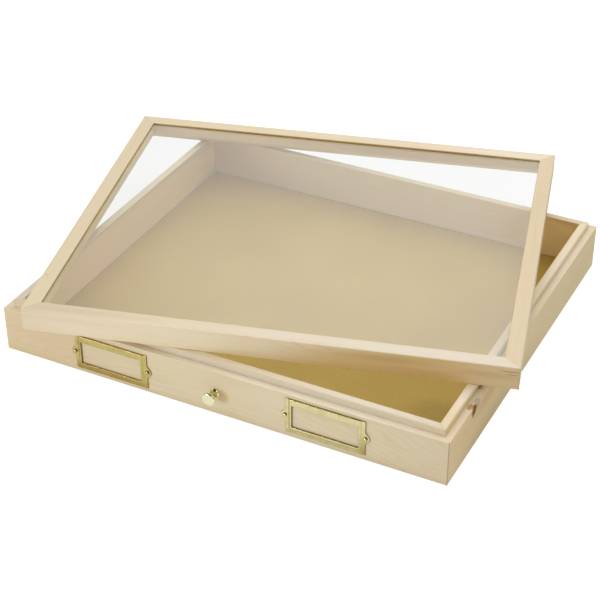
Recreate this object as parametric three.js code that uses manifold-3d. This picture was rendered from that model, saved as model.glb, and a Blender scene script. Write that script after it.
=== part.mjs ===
// Insect collection drawer: a shallow pale wooden drawer with mitred corners, a raised inner tongue,
// two brass label holders and a brass knob, with its glazed wooden lid lying askew on the tongue.
//
// Millimetres, +Z up. The origin is on the surface that the drawer stands on, under the middle of the
// lid, which is also the middle of the whole object. -Y is the front, where the knob is.

import * as THREE from "three";
import { mergeVertices } from "three/addons/utils/BufferGeometryUtils.js";
import Module from "manifold-3d";

const wasm = await Module();
wasm.setup();

// ---- Driving dimensions ----

// Drawer: 19 x 16 1/2 in outside.
const DRAWER_WIDTH = 482.6;
const DRAWER_DEPTH = 419.1;
const RIM_HEIGHT = 49.4; // outer ledge that the closed lid meets
const LEDGE = 7.4; // width of that ledge
const TONGUE_WIDTH = 8.1; // raised inner strip that the lid fits over
const TONGUE_RISE = 7.1;

// Bottom panel: 1/8 in hardboard held in a groove.
const PANEL_THICKNESS = 3.2;
const PANEL_TOP = 7.6;
const PANEL_GROOVE = 6.0;

// Lid: a rebated, mitred frame with the outside size of the drawer.
const LID_HEIGHT = 24.0;
const LID_RAIL = 16.0;
const LID_SKIRT = 6.4; // outer leg, which goes down past the tongue
const LID_REBATE = 8.0; // height of the rebate that takes the tongue
const GLASS_THICKNESS = 2.4;
const GLASS_BELOW_TOP = 1.6;
const GLASS_GROOVE = 5.0;

// The lid lies turned on the drawer.
const LID_YAW = 14.9; // degrees, anticlockwise from above
const DRAWER_SHIFT = { x: 15.5, y: -23.3 }; // drawer's middle, seen from the lid's

// Brass label holders: a stamped plate with a raised frame that is open at the top.
const HOLDERS = [
  { side: "left", x: -115.0, z: 24.2 },
  { side: "right", x: 118.5, z: 25.6 },
];
const PLATE = { width: 82.3, height: 38.8, sheet: 0.8, flange: 3.0 };
const EAR = { reach: 4.6, halfHeight: 7.4, flare: 0.4, sweep: 5.6, belly: 4.4 };
const RAISED = { front: 2.4, shoulder: 1.1 };
const WINDOW = { width: 69.0, height: 24.9 };
const PIN = { x: 41.5, radius: 1.9, height: 1.5 };

// Turned brass knob in the middle of the front. Its profile gives the radius at each height above the
// wood: flanged foot, waisted neck and a flattened mushroom head.
const KNOB = {
  x: 1.2,
  z: 24.8,
  foot: 5.3,
  profile: [
    { radius: 5.3, height: 0.9 },
    { radius: 4.6, height: 1.7 },
    { radius: 3.6, height: 3.4 },
    { radius: 3.4, height: 5.2 },
    { radius: 4.3, height: 7.4 },
    { radius: 5.9, height: 9.2 },
    { radius: 7.1, height: 10.8 },
    { radius: 6.6, height: 12.3 },
    { radius: 4.7, height: 13.4 },
  ],
  reach: 14.0,
};

const ARRIS = 0.6; // softened edges of the boards
const FIT = 0.2; // clearance on each side of a joint, groove or seat
const REST_GAP = 0.3; // between the lid and the tongue that it rests on
const CLEAR = 10; // how far a cutting block runs past what it cuts
const WELD = 1e-4; // points nearer than this are one point

// Segments of the round shapes.
const SEGMENTS = { shoulder: 3, ear: 10, dome: 4, pin: 16, knobCurve: 20, knob: 28 };

// ---- Finishes ----

const paleWood = { color: 0xdcc8a4, roughness: 0.62, metalness: 0 };
const hardboard = { color: 0xb79a5e, roughness: 0.78, metalness: 0 };
const clearGlass = { color: 0xeaf3ee, roughness: 0.03, metalness: 0, transparent: true, opacity: 0.22 };
const brass = { color: 0xc9b458, roughness: 0.28, metalness: 1 };

function piece(name, geometry, finish) {
  const mesh = new THREE.Mesh(geometry, new THREE.MeshStandardMaterial(finish));
  mesh.name = name;
  return mesh;
}

// ---- Solids: joining and cutting ----

function toSolid(geometry) {
  const bare = geometry.index ? geometry.toNonIndexed() : geometry.clone();
  bare.deleteAttribute("normal");
  bare.deleteAttribute("uv");
  const merged = mergeVertices(bare, WELD);
  return new wasm.Manifold(
    new wasm.Mesh({
      numProp: 3,
      vertProperties: new Float32Array(merged.attributes.position.array),
      triVerts: new Uint32Array(merged.index.array),
    }),
  );
}

function toGeometry(solid) {
  const { vertProperties, triVerts } = solid.getMesh();
  const geometry = new THREE.BufferGeometry();
  geometry.setAttribute("position", new THREE.BufferAttribute(vertProperties, 3));
  geometry.setIndex(new THREE.BufferAttribute(triVerts, 1));
  const flat = geometry.toNonIndexed();
  flat.computeVertexNormals();
  return flat;
}

// ---- Mitred boards ----

// Replaces each named corner of an outline by a short chamfer.
function chamfered(corners) {
  const outline = [];
  corners.forEach(([x, y, soften], i) => {
    const here = new THREE.Vector2(x, y);
    if (!soften) {
      outline.push(here);
      return;
    }
    for (const step of [-1, 1]) {
      const [nx, ny] = corners[(i + step + corners.length) % corners.length];
      const towards = new THREE.Vector2(nx, ny).sub(here).setLength(ARRIS);
      outline.push(here.clone().add(towards));
    }
  });
  return new THREE.Shape(outline);
}

// A board along X whose section is drawn in (distance in from the outer face, height). Both ends are
// cut at 45 degrees, so the length shrinks by the distance in from the outer face.
function mitredBoard(section, length) {
  const geometry = new THREE.ExtrudeGeometry(section, { depth: 1, bevelEnabled: false });
  const position = geometry.attributes.position;
  for (let i = 0; i < position.count; i++) {
    const inward = position.getX(i);
    const height = position.getY(i);
    const end = position.getZ(i) > 0.5 ? 1 : -1;
    position.setXYZ(i, end * (length / 2 - FIT - inward), inward, height);
  }
  geometry.computeVertexNormals();
  return geometry;
}

// Four boards round a rectangle, with their outer faces on its sides.
function mitredFrame(names, section, width, depth) {
  const frame = new THREE.Group();
  const sides = [
    { name: names.front, length: width, x: 0, y: -depth / 2, turn: 0 },
    { name: names.right, length: depth, x: width / 2, y: 0, turn: Math.PI / 2 },
    { name: names.back, length: width, x: 0, y: depth / 2, turn: Math.PI },
    { name: names.left, length: depth, x: -width / 2, y: 0, turn: -Math.PI / 2 },
  ];
  for (const side of sides) {
    const board = piece(side.name, mitredBoard(section, side.length), paleWood);
    board.position.set(side.x, side.y, 0);
    board.rotation.z = side.turn;
    frame.add(board);
  }
  return frame;
}

// A flat rectangular sheet with its underside at the given height.
function sheet(name, width, depth, thickness, underside, finish) {
  const plate = piece(name, new THREE.BoxGeometry(width, depth, thickness), finish);
  plate.position.z = underside + thickness / 2;
  return plate;
}

// ---- Drawer ----

const BOARD = LEDGE + TONGUE_WIDTH;
const TONGUE_TOP = RIM_HEIGHT + TONGUE_RISE;

// Ledge outside, tongue inside, and a groove low on the inner face for the bottom panel.
function drawerSection() {
  const grooveFloor = PANEL_TOP - PANEL_THICKNESS - FIT;
  const grooveRoof = PANEL_TOP + FIT;
  return chamfered([
    [0, 0, true],
    [BOARD, 0, false],
    [BOARD, grooveFloor, false],
    [BOARD - PANEL_GROOVE, grooveFloor, false],
    [BOARD - PANEL_GROOVE, grooveRoof, false],
    [BOARD, grooveRoof, false],
    [BOARD, TONGUE_TOP, true],
    [LEDGE, TONGUE_TOP, true],
    [LEDGE, RIM_HEIGHT, false],
    [0, RIM_HEIGHT, true],
  ]);
}

function drawerBox() {
  const names = {
    front: "drawer_front",
    right: "drawer_right_side",
    back: "drawer_back",
    left: "drawer_left_side",
  };
  return mitredFrame(names, drawerSection(), DRAWER_WIDTH, DRAWER_DEPTH);
}

function drawerBottom() {
  const reach = PANEL_GROOVE - FIT;
  const width = DRAWER_WIDTH - 2 * (BOARD - reach);
  const depth = DRAWER_DEPTH - 2 * (BOARD - reach);
  return sheet("drawer_bottom", width, depth, PANEL_THICKNESS, PANEL_TOP - PANEL_THICKNESS, hardboard);
}

// ---- Lid ----

// Skirt outside, rebate under the inner leg, and a kerf near the top of the inner face for the glass.
function lidSection() {
  const kerfRoof = LID_HEIGHT - GLASS_BELOW_TOP + FIT;
  const kerfFloor = LID_HEIGHT - GLASS_BELOW_TOP - GLASS_THICKNESS - FIT;
  return chamfered([
    [0, 0, true],
    [LID_SKIRT, 0, true],
    [LID_SKIRT, LID_REBATE, false],
    [LID_RAIL, LID_REBATE, true],
    [LID_RAIL, kerfFloor, false],
    [LID_RAIL - GLASS_GROOVE, kerfFloor, false],
    [LID_RAIL - GLASS_GROOVE, kerfRoof, false],
    [LID_RAIL, kerfRoof, false],
    [LID_RAIL, LID_HEIGHT, true],
    [0, LID_HEIGHT, true],
  ]);
}

function lid() {
  const names = {
    front: "lid_front_rail",
    right: "lid_right_rail",
    back: "lid_back_rail",
    left: "lid_left_rail",
  };
  const group = mitredFrame(names, lidSection(), DRAWER_WIDTH, DRAWER_DEPTH);
  const reach = GLASS_GROOVE - FIT;
  const width = DRAWER_WIDTH - 2 * (LID_RAIL - reach);
  const depth = DRAWER_DEPTH - 2 * (LID_RAIL - reach);
  const underside = LID_HEIGHT - GLASS_BELOW_TOP - GLASS_THICKNESS;
  group.add(sheet("lid_glass", width, depth, GLASS_THICKNESS, underside, clearGlass));
  group.position.z = TONGUE_TOP + REST_GAP;
  group.rotation.z = THREE.MathUtils.degToRad(LID_YAW);
  return group;
}

// ---- Label holders ----

// Rectangle of the plate with an ogee ear in the middle of each short side.
function plateOutline() {
  const w = PLATE.width / 2;
  const h = PLATE.height / 2;
  const shape = new THREE.Shape();
  shape.moveTo(-w, -h);
  shape.lineTo(w, -h);
  for (const side of [1, -1]) {
    const x = (out) => side * (w + out);
    const y = (up) => side * up;
    shape.lineTo(x(0), y(-EAR.halfHeight));
    shape.bezierCurveTo(
      x(EAR.flare), y(-EAR.sweep), x(EAR.reach), y(-EAR.belly), x(EAR.reach), y(0));
    shape.bezierCurveTo(
      x(EAR.reach), y(EAR.belly), x(EAR.flare), y(EAR.sweep), x(0), y(EAR.halfHeight));
    shape.lineTo(x(0), y(h));
    shape.lineTo(x(-PLATE.width), y(h));
  }
  return shape;
}

function rectangle(left, right, low, high) {
  return new THREE.Shape([
    new THREE.Vector2(left, low),
    new THREE.Vector2(right, low),
    new THREE.Vector2(right, high),
    new THREE.Vector2(left, high),
  ]);
}

// A block whose front edges are rounded over by the shoulder. Its back lies behind the wood's surface.
function softBlock({ left, right, low, high }, front, shoulder) {
  const back = -2;
  const shape = rectangle(left + shoulder, right - shoulder, low + shoulder, high - shoulder);
  const geometry = new THREE.ExtrudeGeometry(shape, {
    depth: front - shoulder - back,
    bevelThickness: shoulder,
    bevelSize: shoulder,
    bevelSegments: SEGMENTS.shoulder,
  });
  return toSolid(geometry.translate(0, 0, back));
}

function squareBlock({ left, right, low, high }, back, front) {
  const shape = rectangle(left, right, low, high);
  const geometry = new THREE.ExtrudeGeometry(shape, { depth: front - back, bevelEnabled: false });
  return toSolid(geometry.translate(0, 0, back));
}

// A plate with a raised frame in it: the card slides down behind the frame from the open top. Drawn
// face on in X and Y, with Z out from the wood.
function labelHolderGeometry() {
  const { width, height, sheet: gauge, flange } = PLATE;
  const raised = {
    left: flange - width / 2,
    right: width / 2 - flange,
    low: flange - height / 2,
    high: height, // longer than the plate, and cut level with its top below
  };
  const pocket = {
    left: raised.left + gauge,
    right: raised.right - gauge,
    low: raised.low + gauge,
    high: raised.high + gauge,
  };
  const window = {
    left: -WINDOW.width / 2,
    right: WINDOW.width / 2,
    low: -WINDOW.height / 2,
    high: WINDOW.height / 2,
  };
  const wood = { left: -width, right: width, low: -2 * height, high: 2 * height };
  const overTop = { left: -width, right: width, low: height / 2, high: 2 * height };
  const outline = { depth: gauge, bevelEnabled: false, curveSegments: SEGMENTS.ear };
  const holder = toSolid(new THREE.ExtrudeGeometry(plateOutline(), outline))
    .add(softBlock(raised, RAISED.front, RAISED.shoulder))
    .subtract(softBlock(pocket, RAISED.front - gauge, RAISED.shoulder - gauge / 2))
    .subtract(squareBlock(wood, -CLEAR, 0))
    .subtract(squareBlock(overTop, -CLEAR, CLEAR))
    .subtract(squareBlock(window, -CLEAR, CLEAR));
  return toGeometry(holder);
}

// A dome with a short shank side, turned about its own axis.
function pinGeometry() {
  const profile = [new THREE.Vector2(0, 0), new THREE.Vector2(PIN.radius, 0)];
  for (let i = 1; i < SEGMENTS.dome; i++) {
    const angle = (i / SEGMENTS.dome) * (Math.PI / 2);
    profile.push(new THREE.Vector2(PIN.radius * Math.cos(angle), PIN.height * Math.sin(angle)));
  }
  profile.push(new THREE.Vector2(0, PIN.height));
  return new THREE.LatheGeometry(profile, SEGMENTS.pin);
}

const ON_FRONT = DRAWER_DEPTH / 2; // distance from the drawer's middle to its front face

function labelHolder({ side, x, z }) {
  const group = new THREE.Group();
  const frame = piece("label_holder_" + side, labelHolderGeometry(), brass);
  frame.rotation.x = Math.PI / 2;
  group.add(frame);
  for (const [end, dx] of [["left", -PIN.x], ["right", PIN.x]]) {
    const pin = piece("label_holder_" + side + "_pin_" + end, pinGeometry(), brass);
    pin.rotation.x = Math.PI;
    pin.position.set(dx, -PLATE.sheet - FIT, 0);
    group.add(pin);
  }
  group.position.set(x, -ON_FRONT - FIT, z);
  return group;
}

// ---- Knob ----

// The profile is smoothed and turned about its own axis.
function knobGeometry() {
  const curve = new THREE.SplineCurve(
    KNOB.profile.map(({ radius, height }) => new THREE.Vector2(radius, height)),
  );
  const profile = [
    new THREE.Vector2(0, 0),
    new THREE.Vector2(KNOB.foot, 0),
    ...curve.getPoints(SEGMENTS.knobCurve),
    new THREE.Vector2(0, KNOB.reach),
  ];
  return new THREE.LatheGeometry(profile, SEGMENTS.knob);
}

function knob() {
  const turned = piece("drawer_knob", knobGeometry(), brass);
  turned.rotation.x = Math.PI;
  turned.position.set(KNOB.x, -ON_FRONT - FIT, KNOB.z);
  return turned;
}

// ---- The whole object ----

const drawer = new THREE.Group();
drawer.add(drawerBox(), drawerBottom(), knob());
for (const holder of HOLDERS) {
  drawer.add(labelHolder(holder));
}
drawer.position.set(DRAWER_SHIFT.x, DRAWER_SHIFT.y, 0);

const collectionDrawer = new THREE.Group();
collectionDrawer.add(drawer, lid());

export default collectionDrawer;
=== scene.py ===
# Insect collection drawer: pale wooden drawer and its glazed lid, brass label holders and knob.
# Metres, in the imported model's frame: +X to the drawer's right end, -Y its front, +Z up.

import math

import bmesh
import bpy
import numpy as np
from mathutils import Matrix, Vector


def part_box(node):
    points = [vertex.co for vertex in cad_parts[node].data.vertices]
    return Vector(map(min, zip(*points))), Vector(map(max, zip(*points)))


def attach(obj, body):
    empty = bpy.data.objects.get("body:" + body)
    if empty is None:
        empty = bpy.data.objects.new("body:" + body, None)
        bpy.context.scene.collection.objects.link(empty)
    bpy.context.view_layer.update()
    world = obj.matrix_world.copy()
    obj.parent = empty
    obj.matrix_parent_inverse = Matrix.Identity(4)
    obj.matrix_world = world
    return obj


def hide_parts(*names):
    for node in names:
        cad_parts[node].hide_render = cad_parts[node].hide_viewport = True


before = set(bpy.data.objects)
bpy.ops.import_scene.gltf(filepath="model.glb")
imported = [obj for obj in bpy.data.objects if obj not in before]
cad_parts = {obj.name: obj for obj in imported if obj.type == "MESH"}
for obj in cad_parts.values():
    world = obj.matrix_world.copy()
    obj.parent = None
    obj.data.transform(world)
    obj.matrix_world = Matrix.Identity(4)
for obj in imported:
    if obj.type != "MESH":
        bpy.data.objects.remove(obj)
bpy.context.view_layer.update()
mm = 0.001
print("frame loaded:", len(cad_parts), "nodes")


cameraView = {
    "place": (0.6346, -1.2688, 0.9288),
    "azimuth": 26.94,  # degrees, 0 looks along +Y
    "elevation": 33.56,
    "roll": -0.16,
    "lens": 94.507,  # mm, on a square 36 mm picture
    "sensor": 36.0,
}


def makeCamera(view):
    data = bpy.data.cameras.new("viewCamera")
    data.lens = view["lens"]
    data.sensor_width = view["sensor"]
    camera = bpy.data.objects.new("viewCamera", data)
    turn = Matrix.Rotation(math.radians(view["azimuth"]), 4, "Z")
    tilt = Matrix.Rotation(math.radians(90 - view["elevation"]), 4, "X")
    roll = Matrix.Rotation(math.radians(view["roll"]), 4, "Z")
    camera.matrix_world = Matrix.Translation(view["place"]) @ turn @ tilt @ roll
    bpy.context.scene.collection.objects.link(camera)
    bpy.context.scene.camera = camera


makeCamera(cameraView)
print("camera placed")


def put(tree, kind, inputs=None, **settings):
    # One shader node, its settings, and its inputs as values or as links from other sockets
    node = tree.nodes.new("ShaderNode" + kind)
    for key, value in settings.items():
        setattr(node, key, value)
    for key, value in (inputs or {}).items():
        if isinstance(value, bpy.types.NodeSocket):
            tree.links.new(value, node.inputs[key])
        else:
            node.inputs[key].default_value = value
    return node


def calc(tree, operation, *terms, clamp=False):
    inputs = dict(enumerate(terms))
    return put(tree, "Math", inputs, operation=operation, use_clamp=clamp).outputs[0]


def times(tree, first, *others):
    # Product of all the terms
    for other in others:
        first = calc(tree, "MULTIPLY", first, other)
    return first


def plus(tree, first, *others):
    # Sum of all the terms
    for other in others:
        first = calc(tree, "ADD", first, other)
    return first


def minus(tree, first, second):
    return calc(tree, "SUBTRACT", first, second)


def scaled(tree, value, factor, offset):
    # value * factor + offset
    return calc(tree, "MULTIPLY_ADD", value, factor, offset)


def vectorCalc(tree, operation, *terms):
    node = put(tree, "VectorMath", dict(enumerate(terms)), operation=operation)
    return node.outputs["Value" if operation in ("LENGTH", "DISTANCE") else "Vector"]


def noiseAt(tree, vector, scale, detail=2.0, roughness=0.5):
    # Noise on a vector that is stretched by its own scale along each axis
    stretched = vectorCalc(tree, "MULTIPLY", vector, scale)
    inputs = {"Vector": stretched, "Scale": 1.0, "Detail": detail, "Roughness": roughness}
    return put(tree, "TexNoise", inputs).outputs[0]


def remap(tree, value, low, high, toLow=0.0, toHigh=1.0):
    inputs = {"Value": value, "From Min": low, "From Max": high, "To Min": toLow, "To Max": toHigh}
    return put(tree, "MapRange", inputs, interpolation_type="SMOOTHSTEP").outputs[0]


def blendColor(tree, factor, first, second, mode="MIX"):
    # Sockets 6 and 7 are the Mix node's colours, and output 2 is its result
    inputs = {0: factor, 6: first, 7: second}
    return put(tree, "Mix", inputs, data_type="RGBA", blend_type=mode).outputs[2]


def newGroup(name, inputs, outputs):
    # An empty shader group with named sockets of the given kinds, and what it is given and gives
    tree = bpy.data.node_groups.new(name, "ShaderNodeTree")
    for way, sockets in (("INPUT", inputs), ("OUTPUT", outputs)):
        for label, kind in sockets.items():
            tree.interface.new_socket(label, in_out=way, socket_type="NodeSocket" + kind)
    given, result = tree.nodes.new("NodeGroupInput"), tree.nodes.new("NodeGroupOutput")
    return tree, given.outputs, result.inputs


def newMaterial(name):
    material = bpy.data.materials.new(name)
    material.use_nodes = True
    tree = material.node_tree
    tree.nodes.clear()
    return material, tree


def relief(tree, height, strength, distance):
    return put(tree, "Bump", {"Height": height, "Strength": strength, "Distance": distance}).outputs[0]


def finishMaterial(material, tree, shader):
    tree.links.new(shader.outputs[0], put(tree, "OutputMaterial").inputs["Surface"])
    return material


def swing(tree, noise, reach):
    # Noise about its middle, times a reach
    return times(tree, minus(tree, noise, 0.5), reach)


surfaceSockets = {"Color": "Color", "Roughness": "Float", "Height": "Float"}  # what both groups give

# Noise scales are per metre along the grain, inward and up
grainNoise = {
    "drift": {"scale": (6, 30, 30), "detail": 3.0},
    "uneven": {"scale": (14, 130, 130)},
    "ringField": {"scale": (5, 22, 22)},
    "streak": {"scale": (8, 210, 210), "detail": 5.0, "roughness": 0.62},
    "fibre": {"scale": (60, 1500, 1500), "detail": 3.0, "roughness": 0.6},
    "fleck": {"scale": (95, 640, 640)},
    "fleckField": {"scale": (14, 46, 46), "detail": 1.0},
    "patch": {"scale": (7, 26, 26)},
    "warm": {"scale": (9, 34, 50), "detail": 3.0, "roughness": 0.55},
}

# A pair is where its noise begins to count and where it counts in full
grainLook = {
    "drift": 22 * mm,  # how far the rings wander over a board
    "uneven": 8 * mm,  # and from one to the next
    "ringSharp": 3.5,
    "ringField": (0.46, 0.66, 0.04, 1.0),
    "streak": (0.46, 0.74),
    "fleck": (0.56, 0.70),
    "fleckField": (0.38, 0.60),
    "patch": (0.36, 0.64),
    "warm": (0.44, 0.70),
    "paleFibre": 0.62,  # fibres above this lighten the wood
    "dark": {"ring": 0.060, "streak": 0.070, "fibre": 0.05, "fleck": 0.040, "edge": 0.02},
    "contrast": 2.0,
    "pink": (1.012, 0.988, 0.985, 1),
    "green": (0.985, 1.0, 0.965, 1),
    "golden": (0.965, 0.915, 0.84, 1),
    "darkest": (0.70, 0.58, 0.42, 1),
    "roughness": 0.50,
    "fibreRough": 0.16,
    "fleckGloss": 0.10,
    "ringSunk": -0.35,
}


def makeWoodGrain():
    # Grain runs along the vector's X. Growth rings are cylinders about a pith line:
    # ring = sharpened sine of (distance from pith + drift) / spacing. The pith bows by
    # bow d² / (1 + settle d²), d from the figure's crown. Streaks, fibres and ray flecks are noise
    # stretched along the grain, and patches lean pink or green.
    look, darken = grainLook, grainLook["dark"]
    tree, given, result = newGroup(
        "woodGrain",
        {
            "Grain": "Vector", "Pale": "Color", "Seed": "Vector", "Pith": "Vector",
            "Ring Spacing": "Float", "Bow": "Float", "Crown": "Float", "Settle": "Float",
            "Swirl": "Float", "Figure": "Float", "Warmth": "Float", "Edge": "Float",
        },
        surfaceSockets,
    )
    place = vectorCalc(tree, "ADD", given["Grain"], given["Seed"])
    parts = put(tree, "SeparateXYZ", {0: given["Grain"]}).outputs
    noise = {name: noiseAt(tree, place, **kind) for name, kind in grainNoise.items()}

    def counted(name):
        return remap(tree, noise[name], *look[name])

    fromCrown = minus(tree, parts[0], given["Crown"])
    square = times(tree, fromCrown, fromCrown)
    level = scaled(tree, square, given["Settle"], 1.0)
    lift = calc(tree, "DIVIDE", times(tree, square, given["Bow"]), level)
    bowed = put(tree, "CombineXYZ", {1: parts[1], 2: plus(tree, parts[2], lift)})
    flatPith = vectorCalc(tree, "MULTIPLY", given["Pith"], (0, 1, 1))
    fromPith = vectorCalc(tree, "DISTANCE", bowed.outputs[0], flatPith)
    drifted = plus(tree, fromPith, swing(tree, noise["drift"], look["drift"]))
    turned = plus(tree, swing(tree, noise["uneven"], look["uneven"]), given["Swirl"])
    phase = calc(tree, "DIVIDE", plus(tree, drifted, turned), given["Ring Spacing"])
    wave = calc(tree, "SINE", times(tree, phase, 2 * math.pi))
    ring = calc(tree, "POWER", scaled(tree, wave, 0.5, 0.5), look["ringSharp"])
    ring = times(tree, ring, counted("ringField"))
    fleck = times(tree, counted("fleck"), counted("fleckField"))

    ringShade = times(tree, ring, given["Figure"], darken["ring"])
    streakShade = times(tree, counted("streak"), darken["streak"])
    fibreShade = times(tree, minus(tree, look["paleFibre"], noise["fibre"]), darken["fibre"])
    shade = plus(tree, ringShade, streakShade, fibreShade)
    shade = minus(tree, shade, times(tree, fleck, darken["fleck"]))
    shade = minus(tree, shade, times(tree, given["Edge"], darken["edge"]))

    pink = blendColor(tree, 1.0, given["Pale"], look["pink"], "MULTIPLY")
    green = blendColor(tree, 1.0, given["Pale"], look["green"], "MULTIPLY")
    tone = blendColor(tree, counted("patch"), pink, green)
    warmth = times(tree, counted("warm"), given["Warmth"])
    tone = blendColor(tree, warmth, tone, look["golden"], "MULTIPLY")
    dark = blendColor(tree, 1.0, tone, look["darkest"], "MULTIPLY")
    depth = calc(tree, "MULTIPLY", shade, look["contrast"], clamp=True)
    tree.links.new(blendColor(tree, depth, tone, dark), result["Color"])

    rough = scaled(tree, noise["fibre"], look["fibreRough"], look["roughness"])
    rough = minus(tree, rough, times(tree, fleck, look["fleckGloss"]))
    tree.links.new(rough, result["Roughness"])
    tree.links.new(scaled(tree, ring, look["ringSunk"], noise["fibre"]), result["Height"])
    return tree


metalNoise = {
    "cloud": {"scale": (160, 160, 160), "detail": 3.0, "roughness": 0.6},
    "scuff": {"scale": (240, 240, 5200)},
    "ripple": {"scale": (420, 420, 420), "detail": 1.0},
}
metalLook = {"cloudCounts": (0.40, 0.70), "polish": 0.09, "scuffShare": 0.5, "scuffHeight": 0.15}


def makeMetalHandling():
    # Hairline scuffs and cloudy tarnish for metal: a mask that lowers gloss and deepens colour
    look = metalLook
    tree, given, result = newGroup(
        "metalHandling",
        {"Vector": "Vector", "Bright": "Color", "Deep": "Color", "Tarnish": "Float", "Gloss Loss": "Float"},
        surfaceSockets,
    )
    noise = {name: noiseAt(tree, given["Vector"], **kind) for name, kind in metalNoise.items()}
    clouded = remap(tree, noise["cloud"], *look["cloudCounts"])
    amount = times(tree, clouded, given["Tarnish"])
    tree.links.new(blendColor(tree, amount, given["Bright"], given["Deep"]), result["Color"])
    scuffed = times(tree, noise["scuff"], look["scuffShare"])
    wearAndShade = plus(tree, scuffed, times(tree, noise["cloud"], 1 - look["scuffShare"]))
    tree.links.new(scaled(tree, wearAndShade, given["Gloss Loss"], look["polish"]), result["Roughness"])
    height = plus(tree, noise["ripple"], times(tree, noise["scuff"], look["scuffHeight"]))
    tree.links.new(height, result["Height"])
    return tree


woodGrain = makeWoodGrain()
metalHandling = makeMetalHandling()
print("shared effects built")


def useGroup(tree, group, inputs):
    return put(tree, "Group", inputs, node_tree=group).outputs


raggedNoise = (600, 600, 600)  # per metre, for the outlines of knots and streaks


def ovalMask(tree, vector, centre, size, soft, ragged=0.0):
    # 1 inside an ellipsoid about the centre, fading to 0 over the soft share of its size
    away = vectorCalc(tree, "SUBTRACT", vector, centre)
    reach = vectorCalc(tree, "LENGTH", vectorCalc(tree, "DIVIDE", away, size))
    if ragged:
        reach = plus(tree, reach, swing(tree, noiseAt(tree, vector, raggedNoise), ragged))
    return remap(tree, reach, 1.0 + soft, 1.0 - soft)


def blockMask(tree, vector, centre, half, soft):
    # 1 inside a block about the centre, fading to 0 over a soft distance either side of its faces
    away = vectorCalc(tree, "ABSOLUTE", vectorCalc(tree, "SUBTRACT", vector, centre))
    past = put(tree, "SeparateXYZ", {0: vectorCalc(tree, "SUBTRACT", away, half)}).outputs
    furthest = calc(tree, "MAXIMUM", calc(tree, "MAXIMUM", past[0], past[1]), past[2])
    return remap(tree, furthest, soft, -soft)


def attributeValue(tree, label, output="Fac"):
    return put(tree, "Attribute", attribute_name=label).outputs[output]


paleWood = {
    "pale": (0.788, 0.665, 0.462, 1),
    "line": (0.40, 0.27, 0.15, 1),  # what dust and shade leave in a crease or a joint
    "paintedPlateShade": (0.90, 0.72, 0.36, 1),  # painted shade, warmed as by light off the brass, that a plate throws on the wood behind it and round its edges
    "plateSoft": 0.4 * mm,
    "swirlReach": 9 * mm,  # how far rings turn aside round a knot
    "swirlSoft": 0.9,
    "gloss": 0.3,
    "dullGloss": 0.02,  # on the darkest marks
    "glossFrom": (0.05, 0.45),
    "bump": 0.10,
    "grainDepth": 0.05 * mm,
}


def makeWood(name, board):
    # Grain, then the board's marks in order, the painted shade round plates, and the dark lines
    look = paleWood
    material, tree = newMaterial(name)
    grain = attributeValue(tree, "grain", "Vector")
    swirl = 0.0
    for knot in board.get("knots", []):
        twisted = ovalMask(tree, grain, knot["centre"], knot["swirl"], look["swirlSoft"])
        swirl = times(tree, twisted, look["swirlReach"])
    wood = useGroup(tree, woodGrain, {
        "Grain": grain,
        "Pale": tuple(p * t for p, t in zip(look["pale"], board.get("tint", (1, 1, 1)))) + (1,),
        "Seed": board["seed"],
        "Pith": board["pith"],
        "Ring Spacing": board["rings"],
        "Bow": board.get("bow", 0.0),
        "Crown": board.get("crown", 0.0),
        "Settle": board.get("settle", 0.0),
        "Swirl": swirl,
        "Figure": board.get("figure", 1.0),
        "Warmth": board.get("warmth", 0.4),
        "Edge": attributeValue(tree, "edge"),
    })
    color = wood["Color"]
    for mark in board["marks"]:
        mask = ovalMask(tree, grain, mark["centre"], mark["size"], mark["soft"], mark["ragged"])
        strength = times(tree, mask, mark["strength"])
        color = blendColor(tree, strength, color, mark["color"], mark["mode"])
    for plate in board.get("plates", []):
        # painted shade on the wood under a plate's rim and at its edges
        under = blockMask(tree, grain, plate["centre"], plate["plate"], look["plateSoft"])
        opening = blockMask(tree, grain, plate["centre"], plate["window"], look["plateSoft"])
        ring = calc(tree, "SUBTRACT", under, opening, clamp=True)
        color = blendColor(tree, ring, color, look["paintedPlateShade"], "MULTIPLY")
    color = blendColor(tree, attributeValue(tree, "line"), color, look["line"], "MULTIPLY")
    green = put(tree, "SeparateColor", {0: color}).outputs[1]
    shader = put(tree, "BsdfPrincipled", {
        "Base Color": color,
        "Roughness": wood["Roughness"],
        "Specular IOR Level": remap(tree, green, *look["glossFrom"], look["dullGloss"], look["gloss"]),
        "Normal": relief(tree, wood["Height"], look["bump"], look["grainDepth"]),
    })
    return finishMaterial(material, tree, shader)


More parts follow.
